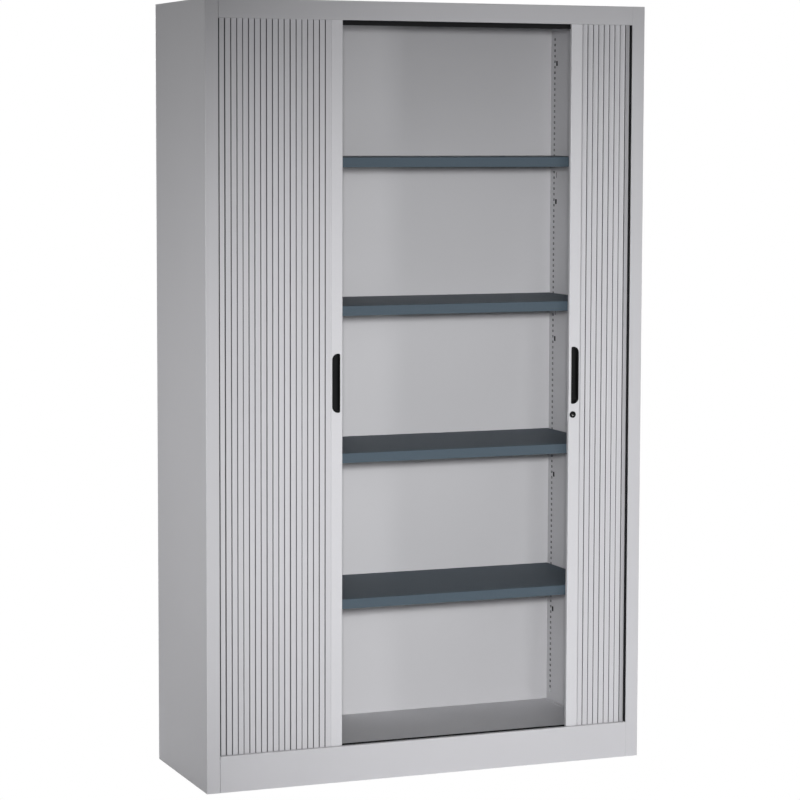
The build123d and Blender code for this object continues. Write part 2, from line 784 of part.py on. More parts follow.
def levelling_foot(x, y):
    pad = rod(foot_radius, foot_pad, (x, y, 0))
    pad = chamfer(pad.edges().group_by(Axis.Z)[-1], foot_pad / 3)
    return pad + rod(stud_radius, stud_top - foot_pad, (x, y, foot_pad))


def foot_nut(x, y):
    z = bracket_height + bracket_sheet
    nut = Pos(x, y, z) * extrude(RegularPolygon(nut_width / 2, 6, major_radius=False), amount=nut_height)
    return nut - rod(stud_radius + stud_play, 3 * nut_height, (x, y, z - nut_height))


def foot_bracket(x, y):
    """Welded shelf for a foot's stud, with an upturned flange against the side panel."""
    side = 1 if x > 0 else -1
    outer = side * (half_width - sheet - seam)
    inner = outer - side * bracket_size
    x0, x1 = sorted((outer, inner))
    behind_post = front + sheet + post_return + seam
    y0 = behind_post if y < 0 else back_face - bracket_size
    plate = block(x0, x1, y0, y0 + bracket_size, bracket_height, bracket_height + bracket_sheet)
    flange_x = sorted((outer, outer - side * bracket_sheet))
    plate += block(flange_x[0], flange_x[1], y0, y0 + bracket_size, bracket_height,
                   bracket_height + bracket_sheet + bracket_flange)
    return plate - rod(stud_radius + stud_play, 4 * bracket_sheet, (x, y, bracket_height - bracket_sheet))


def build():
    os.makedirs("parts", exist_ok=True)
    for side, name in ((-1, "left"), (1, "right")):
        save(f"{name}_side_panel", side_panel(side))
        save(f"{name}_liner", liner(side))
        save(f"{name}_bottom_corner_track", corner_track(side, False))
        save(f"{name}_top_corner_track", corner_track(side, True))
        save(f"{name}_bottom_side_track", side_track(side, False))
        save(f"{name}_top_side_track", side_track(side, True))
    save("top_panel", top_panel())
    save("ceiling_panel", ceiling_panel())
    save("floor_panel", floor_panel())
    save("plinth_front", plinth_front())
    save("plinth_rear", plinth_rear())
    save("back_panel", back_panel())
    save("bottom_front_track", front_track(False))
    save("top_front_track", front_track(True))
    save("top_track_skirt", top_track_skirt())
    for number, top in enumerate(shelf_tops, 1):
        save(f"shelf_{number}", shelf(top))
        save(f"shelf_clips_{number}", *shelf_clips(top))

    for group, slats in curtain(left_edge).items():
        save(f"left_curtain_{group}", *slats)
    for group, slats in curtain(-right_edge).items():
        save(f"right_curtain_{group}", *[mirrored(slat) for slat in slats])
    save("left_end_bar", end_bar(left_edge) - cam_slot(left_edge, 1))
    lock_hole = rod(housing_radius + barrel_play, bar_wall, (lock_x, bar_front, lock_height), back_to_y)
    save("right_end_bar", mirrored(end_bar(-right_edge)) - cam_slot(right_edge, -1) - lock_hole)
    save("left_handle", handle_cup(left_edge))
    save("right_handle", mirrored(handle_cup(-right_edge)))
    save("left_guide_shoes", *guide_shoes(left_edge))
    save("right_guide_shoes", *[mirrored(shoe) for shoe in guide_shoes(-right_edge)])
    save("lock_housing", lock_housing())
    save("lock_barrel", lock_barrel())
    save("lock_cam", lock_cam())
    save("cam_screw", cam_screw())
    save("strike_plate", strike_plate())

    save("levelling_feet", *[levelling_foot(x, y) for x, y in foot_spots()])
    save("foot_nuts", *[foot_nut(x, y) for x, y in foot_spots()])
    save("foot_brackets", *[foot_bracket(x, y) for x, y in foot_spots()])
    save("rear_screws", *[pan_screw(*screw) for screw in rear_screws])
    save("rail_screws", *[pan_screw(*screw) for screw in rail_screws])
    save("liner_screws", *[pan_screw(*screw) for screw in liner_screws])
    save("skirt_screws", *[pan_screw(*screw) for screw in skirt_screws])
    for name, level, up in (("floor", floor_screw_level, True), ("ceiling", ceiling_screw_level, False)):
        save(f"{name}_track_screws", *[countersunk((x, y, level), up) for x, y in track_screw_spots])


build()
left_hinge = corner_x + left_edge - bar_width
right_hinge = corner_x - right_edge - bar_width
print("left door travel", -left_hinge, "to", -left_edge - meeting_gap / 2)
print("right door travel", -right_hinge, "to", right_edge - meeting_gap / 2)
print("lock at", lock_x, bar_front, lock_height, "slats per door", slat_count)
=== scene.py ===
import json
import math
import random

import bpy
from mathutils import Matrix, Vector

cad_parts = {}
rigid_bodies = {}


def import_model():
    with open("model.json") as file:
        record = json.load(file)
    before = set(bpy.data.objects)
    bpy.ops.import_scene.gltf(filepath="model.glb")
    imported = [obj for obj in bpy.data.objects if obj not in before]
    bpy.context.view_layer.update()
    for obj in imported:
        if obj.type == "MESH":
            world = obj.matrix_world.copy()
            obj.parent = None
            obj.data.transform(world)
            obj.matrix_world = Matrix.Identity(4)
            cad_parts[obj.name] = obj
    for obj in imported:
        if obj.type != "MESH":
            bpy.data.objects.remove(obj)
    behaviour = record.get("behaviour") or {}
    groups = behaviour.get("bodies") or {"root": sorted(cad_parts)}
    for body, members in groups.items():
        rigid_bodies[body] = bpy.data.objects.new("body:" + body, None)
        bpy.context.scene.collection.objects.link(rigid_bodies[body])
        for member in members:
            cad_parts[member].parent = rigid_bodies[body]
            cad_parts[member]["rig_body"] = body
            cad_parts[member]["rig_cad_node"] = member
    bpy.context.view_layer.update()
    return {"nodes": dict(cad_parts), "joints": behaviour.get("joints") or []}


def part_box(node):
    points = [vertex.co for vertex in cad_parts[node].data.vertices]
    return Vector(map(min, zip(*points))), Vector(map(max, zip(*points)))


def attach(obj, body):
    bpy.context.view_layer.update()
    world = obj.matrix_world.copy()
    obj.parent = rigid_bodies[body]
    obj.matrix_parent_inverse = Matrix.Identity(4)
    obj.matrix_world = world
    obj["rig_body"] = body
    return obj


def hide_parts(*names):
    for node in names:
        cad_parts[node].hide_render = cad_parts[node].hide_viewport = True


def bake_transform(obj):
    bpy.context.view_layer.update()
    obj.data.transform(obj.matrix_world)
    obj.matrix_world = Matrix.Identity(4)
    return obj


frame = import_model()
cadNodes = frame["nodes"]
random.seed(7)
print("frame loaded,", len(cadNodes), "nodes")


def deselectAll():
    for obj in bpy.context.selected_objects:
        obj.select_set(False)


def activate(obj):
    deselectAll()
    obj.select_set(True)
    bpy.context.view_layer.objects.active = obj


def nodesNamed(*parts):
    return [name for name in sorted(cadNodes) if any(part in name for part in parts)]


smoothAngle = math.radians(35)      # folds sharper than this stay sharp
facing = 0.9                # how far along an axis a normal reaches on a face that faces that way


def addBox(name, corner, opposite):
    # a plain box between two corners, to be worked into a piece
    deselectAll()
    middle = [(start + end) / 2 for start, end in zip(corner, opposite)]
    size = [abs(end - start) for start, end in zip(corner, opposite)]
    bpy.ops.mesh.primitive_cube_add(size=1, location=middle, scale=size)
    bpy.ops.object.transform_apply(location=True, rotation=False, scale=True)
    bpy.context.object.name = name
    return bpy.context.object


def pickFaces(obj, wanted):
    # goes into edit mode with only the wanted faces selected
    bpy.ops.object.mode_set(mode='EDIT')
    bpy.ops.mesh.select_all(action='DESELECT')
    bpy.ops.object.mode_set(mode='OBJECT')
    for face in obj.data.polygons:
        face.select = wanted(face)
    bpy.ops.object.mode_set(mode='EDIT')


def cutAcross(obj, y):
    # goes into edit mode and cuts a piece's faces where they cross a depth
    bpy.ops.object.mode_set(mode='EDIT')
    bpy.ops.mesh.select_all(action='SELECT')
    bpy.ops.mesh.bisect(plane_co=(0, y, 0), plane_no=(0, 1, 0))


def extrudePicked(move):
    bpy.ops.mesh.extrude_region_move(TRANSFORM_OT_translate={"value": move})


def leaveEditing():
    # back to object mode, with all normals pointing out
    bpy.ops.mesh.select_all(action='SELECT')
    bpy.ops.mesh.normals_make_consistent(inside=False)
    bpy.ops.object.mode_set(mode='OBJECT')


def roundEdges(obj, width, segments=2, sharperThan=None):
    rounding = obj.modifiers.new("rounding", 'BEVEL')
    rounding.width = width
    rounding.segments = segments
    if sharperThan is not None:
        rounding.limit_method = 'ANGLE'
        rounding.angle_limit = math.radians(sharperThan)
    bpy.ops.object.modifier_apply(modifier="rounding")


def fitPiece(obj, material, body):
    obj.data.materials.append(material)
    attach(obj, body)


view = {
    "place": (-2.647, -6.640, 1.666),
    "azimuth": 21.735,
    "elevation": -5.03,
    "roll": 0.167,
    "focalPixels": 2735.5,
    "pictureWidth": 800,
    "sensorWidth": 36.0,
    "shiftY": -0.04,        # the picture reaches a little further down than the lens looks
    "clipEnd": 100,
}


def makeCamera():
    azimuth, elevation, roll = (math.radians(view[key]) for key in ("azimuth", "elevation", "roll"))
    ahead = Vector((math.sin(azimuth) * math.cos(elevation), math.cos(azimuth) * math.cos(elevation),
                    math.sin(elevation)))
    level = Vector((math.cos(azimuth), -math.sin(azimuth), 0))
    above = level.cross(ahead)
    right = math.cos(roll) * level + math.sin(roll) * above
    up = math.cos(roll) * above - math.sin(roll) * level
    bpy.ops.object.camera_add(location=view["place"])
    camera = bpy.context.object
    camera.name = "camera"
    turned = Matrix((right, up, -ahead)).transposed().to_4x4()
    camera.matrix_world = Matrix.Translation(view["place"]) @ turned
    camera.data.sensor_width = view["sensorWidth"]
    camera.data.lens = view["focalPixels"] / view["pictureWidth"] * view["sensorWidth"]
    camera.data.shift_y = view["shiftY"]
    camera.data.clip_end = view["clipEnd"]
    bpy.context.scene.camera = camera


makeCamera()
print("camera placed")


lamps = {
    "key": {"kind": 'SPOT', "place": (-2.5, -6.4, 1.86), "aim": (0.50, 0, 0.72),
            "reach": 15, "size": (0.18, 0.18), "power": 1420},
    "front": {"kind": 'SPOT', "place": (-0.8, -6.6, 1.9), "aim": (-0.05, 0, 0.20),
              "reach": 14, "size": (0.5, 0.5), "power": 300},
    "leftFill": {"kind": 'AREA', "place": (-2.0, -0.1, 1.03), "aim": (-0.6, -0.1, 1.03),
                 "size": (0.5, 0.5), "power": 6.4},
    "rightFill": {"kind": 'AREA', "place": (2.3, 0.1, 1.2), "aim": (0.6, 0.1, 1.03),
                  "size": (0.6, 0.6), "power": 9},
    "rightSheen": {"kind": 'AREA', "place": (3.2, -3.4, 1.3), "aim": (0, 0, 0.9),
                   "size": (0.5, 1.6), "power": 30},
    "floorBounce": {"kind": 'AREA', "place": (-0.1, -1.9, 0.02), "aim": (-0.1, -0.6, 0.6),
                    "size": (2.6, 1.4), "power": 3.0},
    "top": {"kind": 'AREA', "place": (0.2, 0.8, 3.9), "aim": (0, 0.1, 1.98),
            "size": (1.0, 1.0), "power": 42},
    "rear": {"kind": 'AREA', "place": (0, 4.5, 2.4), "aim": (0, 0.2, 0.9),
             "size": (1.0, 1.6), "power": 130},
}
surround = {"ambient": 0.04, "seen": 1.0, "floorSize": 60.0, "floorColour": (0.80, 0.80, 0.81),
            "floorRough": 0.9, "floorShine": 0.1}


def makeLamps():
    for name, lamp in lamps.items():
        bpy.ops.object.light_add(type=lamp["kind"], location=lamp["place"])
        light = bpy.context.object
        light.name = name
        if lamp["kind"] == 'SPOT':
            light.data.shadow_soft_size = lamp["size"][0]
            light.data.spot_size = 2 * math.radians(lamp["reach"])
            light.data.spot_blend = 1.0
        else:
            light.data.shape = 'RECTANGLE'
            light.data.size, light.data.size_y = lamp["size"]
        light.data.energy = lamp["power"]
        toAim = Vector(lamp["aim"]) - Vector(lamp["place"])
        light.rotation_euler = toAim.to_track_quat('-Z', 'Y').to_euler()
        light.visible_camera = False


def seenDirectly(nodes, links):
    # 1 for rays of the camera, of gloss and through glass, 0 for the rest
    path = nodes.new("ShaderNodeLightPath")
    glossy = nodes.new("ShaderNodeMath")
    glossy.operation = 'MAXIMUM'
    links.new(path.outputs["Is Camera Ray"], glossy.inputs[0])
    links.new(path.outputs["Is Glossy Ray"], glossy.inputs[1])
    through = nodes.new("ShaderNodeMath")
    through.operation = 'MAXIMUM'
    links.new(glossy.outputs[0], through.inputs[0])
    links.new(path.outputs["Is Transmission Ray"], through.inputs[1])
    return through.outputs[0]


def makeWorld():
    world = bpy.data.worlds.new("studio")
    world.use_nodes = True
    bpy.context.scene.world = world
    nodes, links = world.node_tree.nodes, world.node_tree.links
    nodes.clear()
    output = nodes.new("ShaderNodeOutputWorld")
    soft = nodes.new("ShaderNodeBackground")
    soft.inputs["Strength"].default_value = surround["ambient"]
    seen = nodes.new("ShaderNodeBackground")
    seen.inputs["Color"].default_value = (1, 1, 1, 1)
    seen.inputs["Strength"].default_value = surround["seen"]
    mix = nodes.new("ShaderNodeMixShader")
    links.new(seenDirectly(nodes, links), mix.inputs[0])
    links.new(soft.outputs[0], mix.inputs[1])
    links.new(seen.outputs[0], mix.inputs[2])
    links.new(mix.outputs[0], output.inputs[0])


def makeFloor():
    bpy.ops.mesh.primitive_plane_add(size=surround["floorSize"], location=(0, 0, 0))
    floor = bpy.context.object
    floor.name = "floor"
    material = bpy.data.materials.new("floor")
    material.use_nodes = True
    nodes, links = material.node_tree.nodes, material.node_tree.links
    shader = nodes["Principled BSDF"]
    shader.inputs["Base Color"].default_value = (*surround["floorColour"], 1)
    shader.inputs["Roughness"].default_value = surround["floorRough"]
    shader.inputs["Specular IOR Level"].default_value = surround["floorShine"]
    glow = nodes.new("ShaderNodeEmission")
    glow.inputs["Strength"].default_value = surround["seen"]
    mix = nodes.new("ShaderNodeMixShader")
    links.new(seenDirectly(nodes, links), mix.inputs[0])
    links.new(shader.outputs[0], mix.inputs[1])
    links.new(glow.outputs[0], mix.inputs[2])
    links.new(mix.outputs[0], nodes["Material Output"].inputs[0])
    floor.data.materials.append(material)


makeLamps()
makeWorld()
makeFloor()
bpy.context.scene.view_settings.view_transform = 'Standard'
print("studio lit")


finishes = {
    "casePaint": {"colour": (0.500, 0.498, 0.518), "rough": 0.52,
                  "shine": 0.34, "grain": 0.045, "peel": 0.08},
    # the inside paint is the case paint made lighter: painted light on the inside of the compartments
    "insidePaintWithPaintedLight": {"colour": (0.530, 0.528, 0.546), "rough": 0.56,
                    "shine": 0.34, "grain": 0.045, "peel": 0.08},
    # the bars' paint is lighter than the case paint: partly a lighter paint, partly painted sheen
    "barPaintWithPaintedSheen": {"colour": (0.560, 0.558, 0.580), "rough": 0.46,
                 "shine": 0.40, "grain": 0.035, "peel": 0.06},
    "shelfPaint": {"colour": (0.062, 0.086, 0.108), "rough": 0.55,
                   "shine": 0.16, "grain": 0.10, "peel": 0.14},
    "slatPlastic": {"colour": (0.520, 0.517, 0.540), "rough": 0.50,
                    "shine": 0.34, "grain": 0.030, "peel": 0.04},
    # the faces behind the slats' face plates: a dark hinge strip that is also painted shade in the grooves
    "hingeStripAndPaintedShade": {"colour": (0.040, 0.040, 0.042), "rough": 0.70,
                   "shine": 0.3, "grain": 0.10, "peel": 0.05},
    # black plastic of the tracks, also used for the pieces of painted shade
    "trackPlasticAndPaintedShade": {"colour": (0.008, 0.008, 0.009), "rough": 0.62,
                     "shine": 0.08, "grain": 0.10, "peel": 0.10},
    "footPlastic": {"colour": (0.016, 0.016, 0.017), "rough": 0.60,
                    "shine": 0.4, "grain": 0.12, "peel": 0.20},
}
coating = {
    "grainScale": 900,
    "cloudScale": 2.2,      # slow change of tone over a face
    "cloud": 0.015,
    "peelScale": 420,
    "peelDepth": 0.0004,
    "roughSpread": 0.03,
}
gloss = {"colour": (0.006, 0.006, 0.0065), "shine": 0.12, "rough": (0.14, 0.24),
         "waveScale": 60, "wave": 0.05, "waveDepth": 0.0005}
metals = {
    "zincPlate": {"colour": (0.62, 0.63, 0.64), "rough": 0.36, "scratch": 0.08},
    "lockNickel": {"colour": (0.80, 0.79, 0.77), "rough": 0.20, "scratch": 0.06},
}
plating = {"scratchScale": 600, "alongZ": 0.05, "cloudScale": 70, "cloud": (0.9, 1.08)}
noiseSpan = (0.3, 0.7)      # most of what a noise gives lies in it


def startMaterial(name):
    material = bpy.data.materials.new(name)
    material.use_nodes = True
    tree = material.node_tree
    return material, tree.nodes, tree.links, tree.nodes["Principled BSDF"]


def noiseNode(nodes, links, scale, detail, stretch=(1, 1, 1)):
    place = nodes.new("ShaderNodeTexCoord")
    mapping = nodes.new("ShaderNodeMapping")
    mapping.inputs["Scale"].default_value = stretch
    noise = nodes.new("ShaderNodeTexNoise")
    noise.inputs["Scale"].default_value = scale
    noise.inputs["Detail"].default_value = detail
    links.new(place.outputs["Object"], mapping.inputs["Vector"])
    links.new(mapping.outputs["Vector"], noise.inputs["Vector"])
    return noise


def rangeNode(nodes, links, source, low, high):
    span = nodes.new("ShaderNodeMapRange")
    span.inputs["From Min"].default_value, span.inputs["From Max"].default_value = noiseSpan
    span.inputs["To Min"].default_value = low
    span.inputs["To Max"].default_value = high
    links.new(source, span.inputs["Value"])
    return span.outputs["Result"]


def tintNode(nodes, links, colour, share):
    # the colour, lighter and darker by a share that a noise drives
    tint = nodes.new("ShaderNodeVectorMath")
    tint.operation = 'SCALE'
    tint.inputs[0].default_value = colour
    links.new(share, tint.inputs["Scale"])
    return tint.outputs["Vector"]


def bumpFrom(nodes, links, source, shader, strength, depth):
    bump = nodes.new("ShaderNodeBump")
    bump.inputs["Strength"].default_value = strength
    bump.inputs["Distance"].default_value = depth
    links.new(source, bump.inputs["Height"])
    links.new(bump.outputs["Normal"], shader.inputs["Normal"])


def sprayed(name):
    # powder coat or moulded plastic: fine grain, uneven gloss and a shallow orange peel
    look = finishes[name]
    material, nodes, links, shader = startMaterial(name)
    speck = noiseNode(nodes, links, coating["grainScale"], 2)
    cloud = noiseNode(nodes, links, coating["cloudScale"], 2)
    grain = rangeNode(nodes, links, speck.outputs["Fac"], 1 - look["grain"], 1 + look["grain"])
    drift = rangeNode(nodes, links, cloud.outputs["Fac"], 1 - coating["cloud"], 1 + coating["cloud"])
    both = nodes.new("ShaderNodeMath")
    both.operation = 'MULTIPLY'
    links.new(grain, both.inputs[0])
    links.new(drift, both.inputs[1])
    links.new(tintNode(nodes, links, look["colour"], both.outputs[0]), shader.inputs["Base Color"])
    peel = noiseNode(nodes, links, coating["peelScale"], 1)
    smoothest, roughest = look["rough"] - coating["roughSpread"], look["rough"] + coating["roughSpread"]
    links.new(rangeNode(nodes, links, peel.outputs["Fac"], smoothest, roughest), shader.inputs["Roughness"])
    bumpFrom(nodes, links, peel.outputs["Fac"], shader, look["peel"], coating["peelDepth"])
    shader.inputs["Specular IOR Level"].default_value = look["shine"]
    return material


def glossBlack():
    # moulded in a polished mould, with slightly wavy faces
    material, nodes, links, shader = startMaterial("glossBlack")
    shader.inputs["Base Color"].default_value = (*gloss["colour"], 1)
    shader.inputs["Specular IOR Level"].default_value = gloss["shine"]
    wave = noiseNode(nodes, links, gloss["waveScale"], 2)
    links.new(rangeNode(nodes, links, wave.outputs["Fac"], *gloss["rough"]), shader.inputs["Roughness"])
    bumpFrom(nodes, links, wave.outputs["Fac"], shader, gloss["wave"], gloss["waveDepth"])
    return material


def plated(name):
    # bright plating with faint drawn scratches
    look = metals[name]
    smoothest, roughest = look["rough"] - look["scratch"], look["rough"] + look["scratch"]
    material, nodes, links, shader = startMaterial(name)
    drawn = noiseNode(nodes, links, plating["scratchScale"], 3, (1, 1, plating["alongZ"]))
    cloud = noiseNode(nodes, links, plating["cloudScale"], 2)
    tone = rangeNode(nodes, links, cloud.outputs["Fac"], *plating["cloud"])
    links.new(tintNode(nodes, links, look["colour"], tone), shader.inputs["Base Color"])
    gleam = rangeNode(nodes, links, drawn.outputs["Fac"], smoothest, roughest)
    links.new(gleam, shader.inputs["Roughness"])
    shader.inputs["Metallic"].default_value = 1.0
    return material


def cover(names, material):
    for name in names:
        mesh = cadNodes[name].data
        mesh.materials.clear()
        mesh.materials.append(material)


casePaint = sprayed("casePaint")
insidePaintWithPaintedLight = sprayed("insidePaintWithPaintedLight")
barPaintWithPaintedSheen = sprayed("barPaintWithPaintedSheen")
shelfPaint = sprayed("shelfPaint")
slatPlastic = sprayed("slatPlastic")
hingeStripAndPaintedShade = sprayed("hingeStripAndPaintedShade")
trackPlasticAndPaintedShade = sprayed("trackPlasticAndPaintedShade")
footPlastic = sprayed("footPlastic")
blackGloss = glossBlack()
zincPlate = plated("zincPlate")
lockNickel = plated("lockNickel")

cover(nodesNamed("side_panel", "top_panel", "plinth"), casePaint)
cover(nodesNamed("ceiling_panel", "floor_panel", "back_panel", "liner"), insidePaintWithPaintedLight)
cover(nodesNamed("end_bar"), barPaintWithPaintedSheen)
cover(nodesNamed("shelf_"), shelfPaint)
cover(nodesNamed("curtain"), slatPlastic)
cover(nodesNamed("track", "guide_shoes"), trackPlasticAndPaintedShade)
cover(nodesNamed("levelling_feet"), footPlastic)
cover(nodesNamed("_handle", "lock_housing"), blackGloss)
cover(nodesNamed("screw", "shelf_clips", "foot_brackets", "foot_nuts"), zincPlate)
cover(nodesNamed("strike_plate", "lock_cam"), zincPlate)
cover(nodesNamed("lock_barrel"), lockNickel)
print("finishes made")


curtains = {
    "pitch": 0.0155,
    "cornerX": 0.545,       # where the front run meets the bend
    "cornerRadius": 0.045,  # of the hinge line
    "hingeY": -0.194,
    "plateDepth": 0.0016,   # thickness of the face plates
    "leftTrim": 0.0006,     # taken off both sides of a face plate, which opens the grooves
    "rightTrim": 0.00045,
    "barTrim": 0.0007,      # and off the first slat beside the bar, on top of that
    "parkBehind": 0.00045,  # a spare slat waits this far behind the one it shares a place with
    "tuck": 0.29,           # pitches by which a slat may stay behind the bar of an open door
    "plateSide": 0.38,      # pitches from the middle of a slat to where a face plate's edge begins
    "weldGap": 0.00001,     # points of the CAD's mesh that are closer become one
    "flatAngle": 1.0,       # degrees below which neighbouring faces become one
    "stagger": 0.00001,     # each slat lies this much further back than the one before it
    "sway": 0.00008,        # how far a slat stands proud of its neighbours or behind them
    "wander": 0.00034,      # how far it sits to one side, which makes the grooves uneven
    "twist": 0.5,           # degrees that it is turned on its hinge
    "slack": 0.001,         # share of a pitch that doesn't make another place
    "far": 1000.0,          # a large distance
}
hinge = {"reach": 1.2, "halvings": 40}      # a hinge is sought this many pitches on, by halving


def travelOf(jointName):
    # how far a door stands from fully open, and how far it still has to close
    joint = next(joint for joint in frame["joints"] if joint["name"] == jointName)
    low, high = joint["range_m"]
    return -low, high


def plateBackOf(slat):
    # the depth at which the face plates end
    return min(corner[1] for corner in slat.bound_box) + curtains["plateDepth"]


def trimPlate(slat, middle, side, trim):
    # takes a little off one side of a face plate
    plateBack = plateBackOf(slat)
    bpy.ops.object.mode_set(mode='EDIT')
    bpy.ops.mesh.select_all(action='DESELECT')
    bpy.ops.object.mode_set(mode='OBJECT')
    for vertex in slat.data.vertices:
        outward = (vertex.co.x - middle) * side
        vertex.select = vertex.co.y < plateBack and outward > curtains["pitch"] * curtains["plateSide"]
    bpy.ops.object.mode_set(mode='EDIT')
    bpy.ops.transform.translate(value=(-side * trim, 0, 0))
    bpy.ops.object.mode_set(mode='OBJECT')


def oneSlat(node, hingeX, direction, trim):
    # the slat beside the end bar, cut loose from a copy of the curtain's front, with wider grooves
    copy = cadNodes[node].copy()
    copy.data = cadNodes[node].data.copy()
    copy.parent = None
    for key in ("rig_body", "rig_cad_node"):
        if key in copy:
            del copy[key]
    bpy.context.collection.objects.link(copy)
    activate(copy)
    bpy.ops.object.mode_set(mode='EDIT')
    bpy.ops.mesh.select_all(action='SELECT')
    bpy.ops.mesh.remove_doubles(threshold=curtains["weldGap"])
    bpy.ops.mesh.separate(type='LOOSE')
    bpy.ops.object.mode_set(mode='OBJECT')
    loose = sorted(bpy.context.selected_objects, key=lambda obj: abs(obj.data.vertices[0].co.x))
    slat = loose[0]
    for other in loose[1:]:
        bpy.data.objects.remove(other)
    activate(slat)
    bpy.ops.object.mode_set(mode='EDIT')
    bpy.ops.mesh.select_all(action='SELECT')
    bpy.ops.mesh.dissolve_limited(angle_limit=math.radians(curtains["flatAngle"]))
    leaveEditing()
    middle = hingeX - direction * curtains["pitch"] / 2
    for side in (-1, 1):
        trimPlate(slat, middle, side, trim)
    slat.data.materials.clear()
    slat.data.materials.append(slatPlastic)
    # faces behind the face plates take the dark hinge material: a dark hinge strip and painted shade in the
    # grooves
    slat.data.materials.append(hingeStripAndPaintedShade)
    plateBack = plateBackOf(slat)
    for face in slat.data.polygons:
        face.material_index = 1 if face.center.y > plateBack else 0
    bpy.ops.object.shade_smooth_by_angle(angle=smoothAngle)
    return slat


def halveDown(low, high, isShort):
    # the value between low and high up to which isShort is true
    for _ in range(hinge["halvings"]):
        middle = (low + high) / 2
        if isShort(middle):
            low = middle
        else:
            high = middle
    return high


def easedShare(weight):
    # the share whose smooth step is the weight
    return halveDown(0.0, 1.0, lambda share: share * share * (3 - 2 * share) < weight)


def copyOfSlat(model, name, move):
    slat = model.copy()
    slat.data = model.data.copy()
    slat.name = name
    bpy.context.collection.objects.link(slat)
    slat.data.transform(move)
    return slat


def bendPoint(travel):
    # a point of the hinge line past the front run, and on into the side pocket
    radius = curtains["cornerRadius"]
    angle = min(travel / radius, math.pi / 2)
    beyond = travel - angle * radius
    return (curtains["cornerX"] + radius * math.sin(angle),
            curtains["hingeY"] + radius * (1 - math.cos(angle)) + beyond)


def nextHinge(travel):
    # the travel at which the straight distance from the last hinge is one pitch
    start, pitch = Vector(bendPoint(travel)), curtains["pitch"]
    return halveDown(travel + pitch, travel + hinge["reach"] * pitch,
                     lambda further: (Vector(bendPoint(further)) - start).length < pitch)


def bendMove(hingeX, direction, travel):
    # takes the model slat to its place in the bend
    start, end = bendPoint(travel), bendPoint(nextHinge(travel))
    turn = -direction * math.atan2(end[1] - start[1], end[0] - start[0])
    toHinge = Matrix.Translation((-hingeX, -curtains["hingeY"], 0))
    back = Matrix.Translation((-direction * start[0], start[1], 0))
    return back @ Matrix.Rotation(turn, 4, 'Z') @ toHinge


def hangBend(side, model, node, hingeX, direction, travel):
    # the slats that go round the corner stay where they are
    count = 0
    while travel < curtains["cornerRadius"] * math.pi / 2:
        count += 1
        slat = copyOfSlat(model, side + "_bend_slat_%d" % count, bendMove(hingeX, direction, travel))
        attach(slat, "cabinet")
        if count == 1:
            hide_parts(node)
        travel = nextHinge(travel)
    print(side, "bend hung,", count, "slats")


def frontMove(hingeX, direction, place, uneven, depth):
    # takes the model slat to its place in the front run, a little out of true
    turn = math.radians(uneven[0] * curtains["twist"])
    depth += uneven[1] * curtains["sway"]
    aside = uneven[2] * curtains["wander"] - direction * curtains["pitch"] * place
    middle = Vector((hingeX - direction * curtains["pitch"] / 2, curtains["hingeY"], 0))
    back = Matrix.Translation(middle + Vector((aside, depth, 0)))
    return back @ Matrix.Rotation(turn, 4, 'Z') @ Matrix.Translation(-middle)


def hangCurtain(side, direction):
    # direction is +1 where closing runs along +X
    # every slat of the closed curtain is here; part open, the spare ones share a place with others
    # the places are such that every slat of the open door has gone behind the post
    front = side + "_curtain_front"
    opened, closed = travelOf(side + "_door_slide")
    pitch, far = curtains["pitch"], curtains["far"]
    hingeX = -direction * (curtains["cornerX"] - opened)
    model = oneSlat(front, hingeX, direction, curtains[side + "Trim"])
    placeCount = math.ceil(opened / pitch - curtains["slack"])
    slatCount = math.floor((opened + closed) / pitch)
    bendStart = placeCount * pitch - opened
    uneven = [[random.uniform(-1, 1) for _ in range(3)] for _ in range(placeCount + 1)]
    filled = set()
    for index in range(slatCount):
        place = max(math.ceil((opened * index - closed * curtains["tuck"]) / (opened + closed)), 0)
        depth = index * curtains["stagger"] + (curtains["parkBehind"] if place in filled else 0)
        move = frontMove(hingeX, direction, place, uneven[place], depth)
        if place == placeCount:
            behind = Matrix.Translation((0, curtains["parkBehind"], 0))
            move = behind @ bendMove(hingeX, direction, bendStart)
        filled.add(place)
        slat = copyOfSlat(model, side + "_slat_%02d" % (index + 1), move)
        weight = (closed + pitch * (place - index)) / closed
        share = easedShare(min(max(weight, 0.0), 1.0))
        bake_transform(slat)
        if index == 0:
            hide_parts(front)
            activate(slat)
            trimPlate(slat, hingeX - direction * pitch / 2, direction, curtains["barTrim"])
    print(side, "curtain hung,", slatCount, "slats in", len(filled), "places")
    hangBend(side, model, side + "_curtain_corner", hingeX, direction, bendStart)
    bpy.data.objects.remove(model)


hangCurtain("left", 1)
hangCurtain("right", -1)


edgingAndShade = {
    "innerHalf": 0.565,     # inner edge of the posts
    "frontGap": 0.0026,     # from the front of the case to the strip
    "railGap": 0.0003,      # to the plinth and the header
    "thick": 0.0030,
    "returnDepth": 0.011,   # how far the post's fold reaches back
    "foldGap": 0.0001,      # from the end of the fold to the lip
    "lip": 0.0014,          # thickness of the lip behind the fold
    "hook": 0.0012,         # how far the lip reaches over it
    "round": 0.0004,
}


